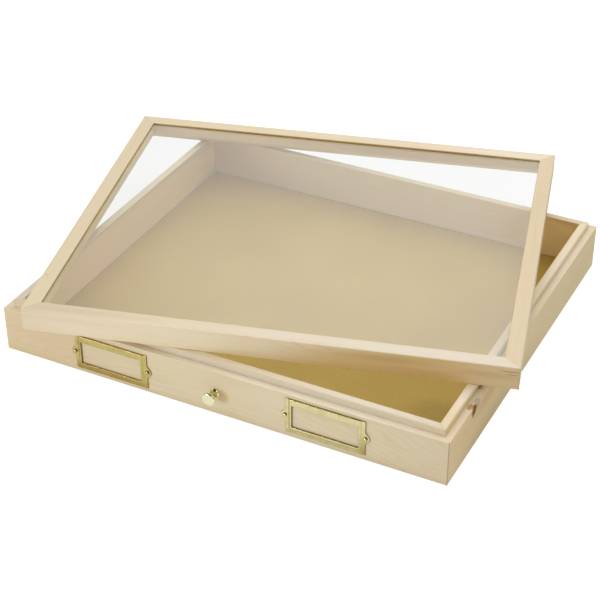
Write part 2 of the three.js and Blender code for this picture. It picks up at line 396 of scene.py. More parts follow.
def makeHardboard():
    # Pressed fibre: fine speckle, soft cloudiness and a few dark specks, as shares of one blend, then
    # painted shade in two corners
    look = {
        "ground": (0.604, 0.418, 0.097, 1),
        "deep": (0.508, 0.336, 0.070, 1),
        "blendCounts": (0.35, 0.75),
        "fibre": {"scale": (900, 900, 900), "detail": 4.0, "roughness": 0.65},
        "matted": {"scale": (220, 420, 300), "detail": 3.0, "roughness": 0.6},
        "cloud": {"scale": (9, 9, 9)},
        "shares": (0.30, 0.25, 0.50),
        "speck": (0.16, 0.10, 0.04, 1),
        "speckScale": 95.0,
        "speckCounts": (0.085, 0.045),
        "speckStrength": 0.22,
        "wearAndShade": (0.82, 0.85, 0.80, 1),  # painted shade in the corners at the right, far and near
        "corners": [((0.24, 0.17, 0.007), (0.05, 0.09, 0.05)), ((0.216, -0.15, 0.007), (0.03, 0.022, 0.02))],
        "cornerSoft": 0.5,
        "roughness": 0.52,
        "fibreRough": 0.2,
        "gloss": 0.35,
        "bump": 0.3,
        "bumpDepth": 0.04 * mm,
    }
    material, tree = newMaterial("hardboard")
    place = put(tree, "TexCoord").outputs["Object"]
    parts = [noiseAt(tree, place, **look[kind]) for kind in ("fibre", "matted", "cloud")]
    fibre = parts[0]
    shares = [times(tree, part, share) for part, share in zip(parts, look["shares"])]
    blend = plus(tree, *shares)
    color = blendColor(tree, remap(tree, blend, *look["blendCounts"]), look["ground"], look["deep"])
    cells = put(tree, "TexVoronoi", {"Vector": place, "Scale": look["speckScale"]})
    inSpeck = remap(tree, cells.outputs["Distance"], *look["speckCounts"])
    speck = times(tree, inSpeck, look["speckStrength"])
    color = blendColor(tree, speck, color, look["speck"])
    # painted shade in the panel's corners
    for centre, reach in look["corners"]:
        corner = ovalMask(tree, place, centre, reach, look["cornerSoft"])
        color = blendColor(tree, corner, color, look["wearAndShade"], "MULTIPLY")
    shader = put(tree, "BsdfPrincipled", {
        "Base Color": color,
        "Roughness": scaled(tree, fibre, look["fibreRough"], look["roughness"]),
        "Specular IOR Level": look["gloss"],
        "Normal": relief(tree, fibre, look["bump"], look["bumpDepth"]),
    })
    return finishMaterial(material, tree, shader)


def makeGlass():
    # Clear float glass. Light reaches the inside through it, so shadow and diffuse rays pass straight.
    look = {
        "body": (0.985, 1.0, 0.99, 1),
        "passing": (0.905, 0.912, 0.905, 1),
        "ior": 1.52,
        "dust": {"scale": (30, 30, 30), "detail": 3.0},
        "dustCounts": (0.5, 0.9),
        "dustRough": 0.02,
    }
    material, tree = newMaterial("clearGlass")
    dust = noiseAt(tree, put(tree, "TexCoord").outputs["Object"], **look["dust"])
    shader = put(tree, "BsdfPrincipled", {
        "Base Color": look["body"],
        "Roughness": times(tree, remap(tree, dust, *look["dustCounts"]), look["dustRough"]),
        "IOR": look["ior"],
        "Transmission Weight": 1.0,
    })
    clear = put(tree, "BsdfTransparent", {"Color": look["passing"]})
    path = put(tree, "LightPath").outputs
    straight = calc(tree, "MAXIMUM", path["Is Shadow Ray"], path["Is Diffuse Ray"])
    mix = put(tree, "MixShader", {0: straight, 1: shader.outputs[0], 2: clear.outputs[0]})
    return finishMaterial(material, tree, mix)


# Painted dark shade and reflection on brass turned away from the front, as on cut edges
brassEdge = {
    "turned": (-0.92, -0.60),  # the normal's Y, from facing the front to an edge
    "color": (0.190, 0.120, 0.022, 1),
    "roughness": 0.5,
    "bumpDepth": 0.05 * mm,
}


def makeBrass(name, look):
    # Cut edges and the side towards the wood, turned from the front, are rougher and painted dark for their
    # shade and dark reflection, and what the piece's own "shade" attribute covers takes on the painted shade
    # colour
    material, tree = newMaterial(name)
    metal = useGroup(tree, metalHandling, {
        "Vector": put(tree, "TexCoord").outputs["Object"],
        "Bright": look["bright"],
        "Deep": look["deep"],
        "Tarnish": look["tarnish"],
        "Gloss Loss": look["glossLoss"],
    })
    normal = put(tree, "NewGeometry").outputs["Normal"]
    facing = put(tree, "SeparateXYZ", {0: normal}).outputs
    cutEdge = times(tree, remap(tree, facing[1], *brassEdge["turned"]), look.get("cutEdge", 0.0))
    color = blendColor(tree, cutEdge, metal["Color"], brassEdge["color"])
    rough = calc(tree, "MAXIMUM", metal["Roughness"], times(tree, cutEdge, brassEdge["roughness"]))
    shader = put(tree, "BsdfPrincipled", {
        "Base Color": blendColor(tree, attributeValue(tree, "shade"), color, look["shade"], "MULTIPLY"),
        "Metallic": 1.0,
        "Roughness": rough,
        "Normal": relief(tree, metal["Height"], look["bump"], brassEdge["bumpDepth"]),
    })
    return finishMaterial(material, tree, shader)


def makePiece(name, node, points, faces, material, smoothAngle=38):
    # A mesh from arrays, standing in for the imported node, on the one body
    mesh = bpy.data.meshes.new(name)
    mesh.from_pydata(np.asarray(points).tolist(), [], faces)
    mesh.shade_smooth()
    mesh.set_sharp_from_angle(angle=math.radians(smoothAngle))
    mesh.materials.append(material)
    piece = bpy.data.objects.new(name, mesh)
    bpy.context.scene.collection.objects.link(piece)
    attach(piece, "root")
    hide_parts(node)
    return piece


def addValues(piece, label, values):
    # One number for each point of the mesh, read by its material
    attribute = piece.data.attributes.new(label, "FLOAT", "POINT")
    attribute.data.foreach_set("value", np.asarray(values, np.float32).ravel())


def faceOut(piece):
    # Turns a closed mesh's faces outwards
    work = bmesh.new()
    work.from_mesh(piece.data)
    bmesh.ops.recalc_face_normals(work, faces=work.faces)
    work.to_mesh(piece.data)
    work.free()


def weighNormals(piece):
    # Wide flats keep flat shading beside their rounded edges
    weigh = piece.modifiers.new("flatFaces", "WEIGHTED_NORMAL")
    weigh.keep_sharp = True
    weigh.weight = 90


def gridFaces(rows, columns, closedColumns=False):
    # Quads of a grid whose point (i, j) is number i * columns + j
    i = np.arange(rows - 1)[:, None] * columns
    j = np.arange(columns if closedColumns else columns - 1)[None, :]
    jNext = (j + 1) % columns
    quads = np.stack([i + j, i + columns + j, i + columns + jNext, i + jNext], -1)
    return quads.reshape(-1, 4).tolist()


def roundedOutline(corners, radii, steps, guard):
    # Each right-angled corner C with unit directions p and q to its neighbours becomes the arc
    # C + r(p + q) - r(q cos a + p sin a), a from 0 to 90 degrees, between two guard points
    corners = np.asarray(corners, float)
    radii = np.asarray(radii, float)[:, None, None]
    before = np.roll(corners, 1, 0) - corners
    after = np.roll(corners, -1, 0) - corners
    p = (before / np.linalg.norm(before, axis=1, keepdims=True))[:, None, :]
    q = (after / np.linalg.norm(after, axis=1, keepdims=True))[:, None, :]
    angle = np.linspace(0, math.pi / 2, steps + 1)[None, :, None]
    here = corners[:, None, :]
    arc = here + radii * (p + q) - radii * (np.cos(angle) * q + np.sin(angle) * p)
    start = here + (radii + guard) * p
    end = here + (radii + guard) * q
    return np.concatenate([start, arc, end], 1).reshape(-1, 2)


def throughPoints(points, stepsEach):
    # Catmull-Rom curve through the points, with its end points repeated
    points = np.asarray(points, float)
    padded = np.vstack([2 * points[0] - points[1], points, 2 * points[-1] - points[-2]])
    t = np.linspace(0, 1, stepsEach, endpoint=False)[None, :, None]
    a, b, c, d = (padded[k:len(padded) - 3 + k][:, None, :] for k in range(4))
    curve = 0.5 * (2 * b + (c - a) * t + (2 * a - 5 * b + 4 * c - d) * t**2 + (3 * b - a - 3 * c + d) * t**3)
    return np.vstack([curve.reshape(-1, 2), points[-1]])


def middle(low, high):
    return (low + high) / 2


drawerLow = Vector((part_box("drawer_left_side")[0].x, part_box("drawer_front")[0].y, 0))
drawerHigh = Vector((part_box("drawer_right_side")[1].x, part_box("drawer_back")[1].y, 0))

clearance = 0.2 * mm  # round the bottom panel and the pane
drawerShape = {
    "width": drawerHigh.x - drawerLow.x,
    "depth": drawerHigh.y - drawerLow.y,
    "centre": (middle(drawerLow.x, drawerHigh.x), middle(drawerLow.y, drawerHigh.y), 0.0),
    "yaw": 0.0,
    "rim": 49.4 * mm,
    "ledge": 7.4 * mm,
    "board": 15.5 * mm,
    "tongueTop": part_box("drawer_front")[1].z,
    "grooveDepth": 6.0 * mm,
    "grooveLow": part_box("drawer_bottom")[0].z - clearance,
    "grooveHigh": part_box("drawer_bottom")[1].z + clearance,
}

lidShape = {
    "width": drawerShape["width"],
    "depth": drawerShape["depth"],
    "base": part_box("lid_front_rail")[0].z,
    "yaw": math.radians(14.9),
    "height": 24.0 * mm,
    "rail": 16.0 * mm,
    "skirt": 6.4 * mm,
    "rebate": 8.0 * mm,
    "glassThick": 2.4 * mm,
    "glassDown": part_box("lid_front_rail")[1].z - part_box("lid_glass")[1].z,
    "glassGroove": 5.0 * mm,
}
lidShape["centre"] = (0.0, 0.0, lidShape["base"])

edgeShape = {
    "arris": 0.7 * mm,
    "crisp": 0.12 * mm,
    "steps": 5,
    "guard": 0.35 * mm,
    "gap": 0.05 * mm,  # half of a mitre's open joint
    "crease": 0.26,  # how dark the line along the tongue's foot is
    "endRows": 5,  # rows of points on an end's rounding
    "nearEnd": (4 * mm, 20 * mm),
    "between": np.linspace(0.1, 0.9, 9),  # shares of the half length
    "jointInside": 0.2,  # how dark a joint is away from the outer face
}


def drawerSection(s):
    # Ledge outside, tongue inside, and the groove for the bottom panel: (inward, up), kind of corner
    board, groove = s["board"], s["board"] - s["grooveDepth"]
    return [
        ((0, 0), "soft"),
        ((board, 0), "crisp"),
        ((board, s["grooveLow"]), "crisp"),
        ((groove, s["grooveLow"]), "crisp"),
        ((groove, s["grooveHigh"]), "crisp"),
        ((board, s["grooveHigh"]), "crisp"),
        ((board, s["tongueTop"]), "soft"),
        ((s["ledge"], s["tongueTop"]), "soft"),
        ((s["ledge"], s["rim"]), "crease"),
        ((0, s["rim"]), "soft"),
    ]


def lidSection(s):
    # Skirt outside, rebate under the inner leg, and the kerf that holds the pane
    kerfHigh = s["height"] - s["glassDown"] + clearance
    kerfLow = s["height"] - s["glassDown"] - s["glassThick"] - clearance
    rail, kerf = s["rail"], s["rail"] - s["glassGroove"]
    return [
        ((0, 0), "soft"),
        ((s["skirt"], 0), "soft"),
        ((s["skirt"], s["rebate"]), "crisp"),
        ((rail, s["rebate"]), "soft"),
        ((rail, kerfLow), "crisp"),
        ((kerf, kerfLow), "crisp"),
        ((kerf, kerfHigh), "crisp"),
        ((rail, kerfHigh), "crisp"),
        ((rail, s["height"]), "soft"),
        ((0, s["height"]), "soft"),
    ]


def boardGrid(section, length, joints):
    # The section (inward w, up z) is carried along X and cut at 45 degrees at both ends:
    # x = ±(length/2 - gap - w - u). Near the ends the outer face turns in on a quarter circle,
    # w = r - sqrt(r² - (r - d)²), with d the distance from the neighbouring board's outer face.
    # Returns the points, how far each is on a softened edge, and how far on a dark line.
    e = edgeShape
    radii = [e["arris"] if kind == "soft" else e["crisp"] for _, kind in section]
    outline = roundedOutline([corner for corner, _ in section], radii, e["steps"], e["guard"])
    kinds = np.array([kind for _, kind in section])
    onArc = np.zeros((len(section), e["steps"] + 3))
    onArc[kinds == "soft", 1:-1] = 1.0
    inCrease = np.zeros_like(onArc)
    inCrease[kinds == "crease", 1:-1] = e["crease"]
    r = e["arris"]
    start = r * (1 - math.sqrt(0.5))
    near = np.concatenate([np.linspace(0, r - start, e["endRows"]), [r + e["guard"], *e["nearEnd"]]])
    fromEnd = np.concatenate([near, e["between"] * (length / 2)])
    fromEnd = np.unique(np.clip(fromEnd, 0, length / 2 - e["nearEnd"][-1]))
    w = outline[:, 0][None, :]
    reach = np.maximum(w, start) + fromEnd[:, None]
    turn = r - np.sqrt(np.maximum(r**2 - np.maximum(r - reach, 0) ** 2, 0))
    inward = np.maximum(w, turn)
    x = length / 2 - e["gap"] - reach
    z = np.broadcast_to(outline[:, 1][None, :], x.shape)
    half = np.stack([x, inward, z], -1)
    mirrored = half[::-1] * (-1, 1, 1)
    points = np.concatenate([half, mirrored], 0)
    outer = (w < r)[0] * 1.0
    edge = np.broadcast_to(onArc.reshape(1, -1), points.shape[:2]).copy()
    for rows in (slice(None, e["endRows"]), slice(-e["endRows"], None)):
        edge[rows] = np.maximum(edge[rows], outer)
    inside = e["jointInside"]
    fade = np.clip(1 - fromEnd / (r + e["guard"]), 0, 1)[:, None] * (inside + (1 - inside) * outer)[None, :]
    joint = np.concatenate([fade * joints[1], fade[::-1] * joints[0]], 0)
    line = np.maximum(joint, inCrease.reshape(1, -1))
    return points, edge, line


plainJoints = (0.15, 0.15)  # how dark the joints at a board's two ends are
boardSides = {"front": (0, (0, -1)), "right": (90, (1, 0)), "back": (180, (0, 1)), "left": (270, (-1, 0))}


def makeBoard(name, shape, section, board):
    # The board is made along X with its outer face to the front, then turned to its side
    length = shape["width"] if board["side"] in ("front", "back") else shape["depth"]
    local, edge, line = boardGrid(section, length, board.get("joints", plainJoints))
    rows, columns = edge.shape
    flat = local.reshape(-1, 3)
    turn, outwards = boardSides[board["side"]]
    half = Vector((outwards[0] * shape["width"] / 2, outwards[1] * shape["depth"] / 2, 0))
    place = (
        Matrix.Translation(shape["centre"])
        @ Matrix.Rotation(shape["yaw"], 4, "Z")
        @ Matrix.Translation(half)
        @ Matrix.Rotation(math.radians(turn), 4, "Z")
    )
    matrix = np.array(place)
    points = flat @ matrix[:3, :3].T + matrix[:3, 3]
    ends = [list(range(columns)), list(range(rows * columns - 1, (rows - 1) * columns - 1, -1))]
    faces = gridFaces(rows, columns, closedColumns=True) + ends
    piece = makePiece(name, board["node"], points, faces, makeWood(name, board))
    grain = piece.data.attributes.new("grain", "FLOAT_VECTOR", "POINT")
    grain.data.foreach_set("vector", flat.astype(np.float32).ravel())
    addValues(piece, "edge", edge)
    addValues(piece, "line", line)
    faceOut(piece)
    weighNormals(piece)
    return piece


# A mark is an oval in the board's own millimetres: along from its middle, inward from its outer
# face, and up from its foot. A tint multiplies the wood's colour, and a stain covers it.

def tint(centre, size, color, soft=0.5, strength=1.0, ragged=0.0, mode="MULTIPLY"):
    return {
        "centre": tuple(c * mm for c in centre),
        "size": tuple(s * mm for s in size),
        "color": (*color, 1),
        "soft": soft,
        "strength": strength,
        "ragged": ragged,
        "mode": mode,
    }


def stain(centre, size, color, soft=0.5, strength=1.0, ragged=0.0):
    return tint(centre, size, color, soft, strength, ragged, "MIX")


def nail(along, inward):
    return stain((along, inward, 24), (0.7, 1.1, 0.7), (0.42, 0.30, 0.17), 0.5, 0.7)


def innerEdge(color=(0.88, 0.79, 0.60)):
    # Inside, above the pane, the rails are seen by light that has met wood and glass before
    return tint((0, 16, 24), (240, 0.7, 2.4), color, 0.2)


def innerFoot(color=(1.0, 0.95, 0.85)):
    return tint((0, 16, 14), (240, 0.45, 7), color, 0.15)


knotBrown = {
    "edge": (0.47, 0.27, 0.085),
    "heart": (0.20, 0.085, 0.014),
    "halo": (0.50, 0.40, 0.24),
    "around": (0.84, 0.74, 0.60),
}
# golden: painted bounce from the panel, with the wood's own tone, on the lid's front face
golden = (0.845, 0.72, 0.505)
streak = (0.80, 0.66, 0.48)
crack = (0.30, 0.17, 0.07)
footLine = tint((0, 15.5, 7.6), (250, 0.5, 1), (0.62, 0.52, 0.40), 0.45, 0.9)  # over the panel's groove

knobLow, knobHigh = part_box("drawer_knob")
knobAlong = (middle(knobLow.x, knobHigh.x) - drawerShape["centre"][0]) / mm
knobUp = middle(knobLow.z, knobHigh.z) / mm


def behindHolder(side):
    # What a label holder covers of the front board, and what its window leaves open, for the painted shade
    # round the plate
    low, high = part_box("label_holder_" + side)
    return {
        "centre": (middle(low.x, high.x) - drawerShape["centre"][0], 0.0, middle(low.z, high.z)),
        "plate": (41.7 * mm, 2 * mm, 19.9 * mm),
        "window": (34.1 * mm, 3 * mm, 12.0 * mm),
    }


drawerBoards = {
    "frontBoard": {
        "node": "drawer_front", "side": "front", "seed": (1.3, 0.2, 0.7), "joints": (0.3, 0.45),
        "pith": (0, -0.05, -0.13), "rings": 6.5 * mm, "bow": 0.85, "crown": -15 * mm,
        "figure": 1.1, "warmth": 0.5,
        "plates": [behindHolder("left"), behindHolder("right")],
        "marks": [
            # face, left and right
            tint((-225, 0, 20), (75, 4, 40), (0.93, 0.865, 0.79), 0.6, 0.8),
            tint((230, 0, 20), (110, 4, 45), (0.92, 0.925, 0.88), 0.6, 0.9),
            # tongue's top in painted cool top light, the crease at its foot with its shade tinted cooler,
            # its face in painted shade, and painted shade along the board's foot
            tint((0, 11.5, 54), (250, 4.6, 5.2), (1.06, 1.06, 1.17), 0.15),
            tint((0, 6.2, 50.4), (260, 3, 2.8), (0.98, 1.0, 1.10)),
            tint((60, 7.4, 53), (250, 1, 4.5), (0.92, 0.93, 0.95), 0.6),
            tint((0, 0, 0), (260, 1.5, 5), (0.90, 0.89, 0.84), 0.8),
            # ledge and the tongue's right end in painted cool top light, and the tongue's left end in
            # painted shade under the lid's corner
            tint((150, 2.6, 49.4), (240, 4.6, 0.9), (1.13, 1.17, 1.30)),
            tint((190, 11.5, 57), (90, 4.6, 4), (1.0, 1.04, 1.12), 0.6),
            tint((-236, 11.5, 57), (30, 4.6, 4), (0.86, 0.86, 0.94), 0.4),
            # face round the right holder, and the knob's shadow beside it, painted warmer and lighter as by
            # light off the brass
            tint((150, 0, 30), (75, 1, 28), (1.05, 1.09, 1.13), 0.8),
            tint((knobAlong + 9, 0, knobUp - 1), (8, 1, 8), (1.10, 1.03, 0.85), 0.7),
        ],
    },
    "rightBoard": {
        "node": "drawer_right_side", "side": "right", "seed": (4.1, 1.9, 0.3), "joints": (0.45, 0.2),
        "pith": (0, 0.12, -0.09), "rings": 5.2 * mm, "bow": 0.1, "figure": 0.6, "tint": (1.09, 1.045, 0.89),
        "knots": [{"centre": (-147 * mm, 0.0, 45 * mm), "swirl": (34 * mm, 22 * mm, 22 * mm)}],
        "marks": [
            footLine,
            # a second knot, in the crease
            stain((-118.5, 6.6, 49.6), (4.6, 2.6, 2), knotBrown["edge"], 0.45, 0.85, 0.5),
            # tongue's top and ledge in painted cool top light, and the crease in painted cool shade
            tint((0, 11.5, 55.5), (230, 4.6, 3), (0.98, 1.03, 1.24), 0.15),
            tint((0, 3, 49.4), (260, 5, 0.8), (0.98, 1.02, 1.24), 0.15),
            tint((0, 6.6, 51), (260, 2, 3.2), (0.93, 0.97, 1.06)),
            # face near the lid's corner, its foot, and the tongue's far and near parts, both in painted
            # light, the near part lifting the lid's shadow
            tint((-140, 0, 28), (62, 1.2, 22), (1.0, 0.95, 0.86), 0.7, 0.9),
            tint((-78, 0, 2), (80, 1.2, 16), (0.84, 0.82, 0.74), 0.8),
            tint((170, 8, 54), (90, 9, 7), (1.09, 1.13, 1.22)),
            tint((-147, 11.5, 56), (22, 5, 4.5), (1.10, 1.13, 1.28), 0.6),
            # the knot's surroundings, halo, edge and heart
            tint((-118, 0, 38), (26, 1.2, 7), knotBrown["around"], 0.7, 0.5, 0.4),
            stain((-147, 3.6, 49.4), (6, 3.6, 2), knotBrown["halo"], 0.6, 0.25, 0.4),
            stain((-140, 1, 46.8), (5, 3.4, 5.6), knotBrown["halo"], 0.22, 0.60, 0.25),
            stain((-152, 3.2, 49.4), (4.6, 3, 2.5), knotBrown["edge"], 0.30, 0.80, 1.0),
            stain((-150.2, 0, 46), (6.4, 1.8, 4.4), knotBrown["edge"], 0.22, 0.90, 0.45),
            stain((-148.4, 0, 45.4), (4.4, 1.8, 5.4), knotBrown["heart"], 0.40, 0.90, 0.3),
            stain((-151.4, 0, 41.8), (2.8, 1.8, 3.6), knotBrown["heart"], 0.45, 0.80, 0.3),
        ],
    },
    "backBoard": {
        "node": "drawer_back", "side": "back", "seed": (7.7, 2.2, 1.9),
        "pith": (0, 0.16, -0.05), "rings": 4.8 * mm, "bow": -0.2, "figure": 0.7,
        "marks": [
            footLine,
            tint((-225, 15.5, 32), (85, 0.6, 34), (0.96, 0.835, 0.61), 0.3),  # inner wall, right end: painted golden shade, as from the panel's bounce under the lid
        ],
    },
    "leftBoard": {
        "node": "drawer_left_side", "side": "left", "seed": (2.9, 5.2, 4.4),
        "pith": (0, -0.09, 0.14), "rings": 4.6 * mm, "bow": 0.25, "figure": 0.7, "warmth": 0.3,
        "tint": (1.08, 1.075, 1.08),
        "marks": [
            footLine,
            # inner wall in painted light, ledge, tongue's front end and the inner wall's front end
            tint((0, 15.5, 30), (230, 0.6, 24), (1.17, 1.10, 0.985), 0.1),
            tint((0, 3.6, 50.5), (260, 4.6, 6), (0.83, 0.885, 1.02), 0.3),
            tint((200, 11.5, 57), (60, 4.6, 4), (0.80, 0.88, 1.03), 0.3),
            tint((205, 15.5, 28), (90, 0.6, 30), (0.98, 1.04, 0.90), 0.7),
        ],
    },
}

lidBoards = {
    "lidFrontRail": {
        "node": "lid_front_rail", "side": "front", "seed": (9.4, 3.3, 2.1),
        "pith": (0, 0.11, -0.12), "rings": 4.4 * mm, "bow": 1.7, "crown": -110 * mm, "settle": 25.0,
        "figure": 1.9, "tint": (1.05, 1.06, 1.07), "warmth": 0.3,
        "marks": [
            innerEdge(),
            innerFoot(),
            # top, in painted cool top light right of the middle, and darker at the left end
            tint((200, 8, 24.5), (330, 9, 1.6), (1.01, 1.03, 1.12), 0.25),
            tint((140, 8, 24.5), (130, 9, 1.6), (1.04, 1.06, 1.13), 0.7),
            tint((-241, 8, 24.5), (110, 9, 1.6), (0.86, 0.85, 0.84), 0.6),
            # face's right end, left part and foot, and its right half golden, partly the wood's own tone and
            # partly painted bounce from the panel
            tint((228, 0, 12), (42, 1, 26), (0.99, 1.05, 1.22)),
            tint((-125, 0, 12), (82, 1, 30), (1.09, 1.09, 1.14)),
            tint((60, 0, 0), (210, 1, 5), (0.98, 0.94, 0.83), 0.7),
            tint((190, 0, 6), (158, 1, 24), golden, 0.32),
            tint((112, 0, 17), (34, 1, 3.6), streak, 0.8, 0.35, 0.9),
            tint((150, 0, 6), (40, 1, 4.2), streak, 0.8, 0.35, 0.9),
            tint((214, 0, 13), (26, 1, 3.4), streak, 0.8, 0.45, 0.9),
            stain((232.5, 0, 19), (9, 1.2, 0.55), crack, 0.6, 0.75, 0.6),
            stain((234.5, 0, 15.9), (5.5, 1.2, 0.5), crack, 0.6, 0.6, 0.6),
            nail(233.8, 8.9),
            nail(-235.4, 7.6),
        ],
    },
    "lidRightRail": {
        "node": "lid_right_rail", "side": "right", "seed": (5.6, 8.1, 3.8),
        "pith": (0, 0.15, 0.06), "rings": 5.0 * mm, "bow": 0.1, "figure": 0.6, "tint": (1.05, 1.02, 1.03),
        "marks": [innerEdge(), innerFoot()],
    },
    "lidBackRail": {
        "node": "lid_back_rail", "side": "back", "seed": (3.2, 6.6, 9.1),
        "pith": (0, -0.10, -0.10), "rings": 4.8 * mm, "bow": -0.1, "figure": 0.6, "warmth": 0.1,
        "tint": (1.06, 1.06, 1.05),
        "marks": [
            innerEdge((0.80, 0.62, 0.36)),
            innerFoot(),
            tint((-130, 16, 14), (170, 0.45, 8), (0.79, 0.76, 0.69)),  # inner face, right part
            # top, right part and right end, in painted cool top light
            tint((-150, 8, 24.5), (250, 9, 1.6), (1.06, 1.08, 1.14), 0.6),
            tint((-200, 8, 24.5), (80, 9, 1.6), (1.05, 1.10, 1.18), 0.6),
        ],
    },
    "lidLeftRail": {
        "node": "lid_left_rail", "side": "left", "seed": (8.8, 0.4, 6.5),
        "pith": (0, 0.12, -0.13), "rings": 4.6 * mm, "bow": 0.2, "figure": 0.6, "warmth": 0.2,
        "marks": [
            innerEdge((0.98, 0.90, 0.66)),
            innerFoot((1.18, 1.16, 0.90)),
            nail(146, 4.7),
        ],
    },
}

for name, board in drawerBoards.items():
    makeBoard(name, drawerShape, drawerSection(drawerShape), board)
print("drawer boards built")
for name, board in lidBoards.items():
    makeBoard(name, lidShape, lidSection(lidShape), board)
print("lid rails built")


def slabGrid(width, depth, low, high, stepsX, stepsY):
    # Two parallel grids and the band round their edges: a flat sheet as a closed surface
    x = np.linspace(-width / 2, width / 2, stepsX)
    y = np.linspace(-depth / 2, depth / 2, stepsY)
    gx, gy = np.meshgrid(x, y, indexing="ij")
    top = np.stack([gx, gy, np.full_like(gx, high)], -1).reshape(-1, 3)
    under = np.stack([gx, gy, np.full_like(gx, low)], -1).reshape(-1, 3)
    number = np.arange(stepsX * stepsY).reshape(stepsX, stepsY)
    rim = np.concatenate([number[:, 0], number[-1, 1:], number[-2::-1, -1], number[0, -2:0:-1]])
    nextRim = np.roll(rim, -1)
    count = stepsX * stepsY
    band = np.stack([rim, nextRim, nextRim + count, rim + count], -1).tolist()
    cover = np.array(gridFaces(stepsX, stepsY))
    faces = cover.tolist() + (cover[:, ::-1] + count).tolist() + band
    return np.vstack([top, under]), faces


def softenEdges(piece, width, segments):
    bevel = piece.modifiers.new("softEdges", "BEVEL")
    bevel.width = width
    bevel.segments = segments
    bevel.limit_method = "ANGLE"
    bevel.angle_limit = math.radians(50)


panelShape = {"edge": 0.3 * mm, "steps": (13, 11)}
paneEdge = 0.25 * mm


def makeBottomPanel():
    low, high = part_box("drawer_bottom")
    points, faces = slabGrid(high.x - low.x, high.y - low.y, low.z, high.z, *panelShape["steps"])
    points = points + (middle(low.x, high.x), middle(low.y, high.y), 0)
    panel = makePiece("bottomPanel", "drawer_bottom", points, faces, makeHardboard())
    faceOut(panel)
    softenEdges(panel, panelShape["edge"], 2)


def makePane():
    # Made square to the rails, then turned with the lid
    reach = lidShape["glassGroove"] - clearance
    width = lidShape["width"] - 2 * (lidShape["rail"] - reach)
    depth = lidShape["depth"] - 2 * (lidShape["rail"] - reach)
    low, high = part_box("lid_glass")
    points, faces = slabGrid(width, depth, low.z, high.z, 2, 2)
    cos, sin = math.cos(lidShape["yaw"]), math.sin(lidShape["yaw"])
    turn = np.array([[cos, sin, 0], [-sin, cos, 0], [0, 0, 1]])
    pane = makePiece("lidPane", "lid_glass", points @ turn, faces, makeGlass())
    faceOut(pane)
    softenEdges(pane, paneEdge, 1)
    pane.data.shade_flat()


makeBottomPanel()
makePane()
print("panel and pane built")


def onFront(node):
    # The middle of a node's back, on the front board's face
    low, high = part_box(node)
    return np.array((middle(low.x, high.x), high.y, middle(low.z, high.z)))


# Heights are above the wood, and the painted shade's values are shares of full shade
holderShape = {
    "width": 82.3 * mm,
    "height": 38.8 * mm,
    "sheet": 0.8 * mm,
    "flange": 3.0 * mm,
    "front": 1.6 * mm,
    "window": (69.0 * mm, 24.9 * mm),
    "shoulder": 2.4 * mm,
    "earReach": 4.6 * mm,
    "earHalf": 7.4 * mm,
    "earSteep": 1.35,  # how soon an ear has its full reach
    "earFlat": 0.55,  # share of the flat bell, against the round arch
    "earPinch": 0.6,  # how far the arch is drawn in
    "cornerRound": 1.2 * mm,
    "edgeRound": 0.34 * mm,
    "columns": (57, 61),  # points down a side and along the bottom or the top
    "rings": (15, 8),  # loops on the raised part and on the flange
    "rightHump": 0.3,
    "lowerShade": 0.45,
    "lowerBand": (0.5 * mm, 1.5 * mm),  # full below the raised part's foot, gone above it
    # painted dark reflection about the plate's lower edge: its share and reach
    "darkReflectionShare": 0.75,
    "darkReflectionReach": 1.4,
}

# The shade colours and the oval about the lower edge paint dark reflection and shade on the brass
holderBrass = {
    "left": {
        "bright": (0.650, 0.535, 0.205, 1), "deep": (0.490, 0.375, 0.110, 1),
        "shade": (0.62, 0.52, 0.29, 1), "tarnish": 0.6, "glossLoss": 0.14, "bump": 0.16, "cutEdge": 0.9,
        "darkReflectionOval": (-6.0 * mm, 62.0 * mm, 9.0 * mm),
    },
    "right": {
        "bright": (0.810, 0.735, 0.400, 1), "deep": (0.650, 0.540, 0.215, 1),
        "shade": (0.55, 0.48, 0.27, 1), "tarnish": 0.5, "glossLoss": 0.12, "bump": 0.16, "cutEdge": 0.9,
        "darkReflectionOval": (41.0 * mm, 9.0 * mm, 20.0 * mm),
    },
}

pinShape = {
    "radius": 1.95 * mm,
    "height": 1.5 * mm,
    "rim": 0.25 * mm,
    "foot": 0.96,  # of the radius
    "tarnish": 0.3,
    "domeSteps": 12,
    "steps": 32,
}


def smoothStep(t):
    t = np.clip(t, 0, 1)
    return t * t * (3 - 2 * t)


def earBulge(y, s):
    # Ogee ear on the plate's short side: reach times a bell that is flat in the middle and
    # sweeps out to the side with an inward curve
    t = np.clip(1 - np.abs(y) / s["earHalf"], 0, 1)
    bell = smoothStep(t * s["earSteep"])
    arch = np.sqrt(np.clip(1 - (1 - t) ** 2, 0, 1)) * t ** s["earPinch"]
    return s["earReach"] * (s["earFlat"] * bell + (1 - s["earFlat"]) * arch)


def holderColumns(s):
    # Stations down the left side, along the bottom, up the right side and back along the top,
    # as three loops: the window's edge, the foot of the raised part, and the plate's outline
    halfW, halfH = s["width"] / 2, s["height"] / 2
    winW, winH = s["window"][0] / 2, s["window"][1] / 2
    riseW, riseLow = halfW - s["flange"], halfH - s["flange"]
    up = np.linspace(1, -1, s["columns"][0])
    across = np.linspace(-1, 1, s["columns"][1])

    def loop(w, low, high, bulge):
        yLeft = np.where(up > 0, up * high, up * low)
        left = np.stack([-w - bulge * earBulge(yLeft, s), yLeft], -1)
        right = left[::-1] * (-1, 1)
        bottom = np.stack([across * w, np.full_like(across, -low)], -1)[1:-1]
        top = np.stack([-across * w, np.full_like(across, high)], -1)[1:-1]
        return np.vstack([left, bottom, right, top])

    window = loop(winW, winH, winH, 0)
    foot = loop(riseW, riseLow, halfH, 0)
    outline = loop(halfW, halfH, halfH, 1)
    sides = 2 * len(up) + len(across) - 2
    return window, foot, outline, sides


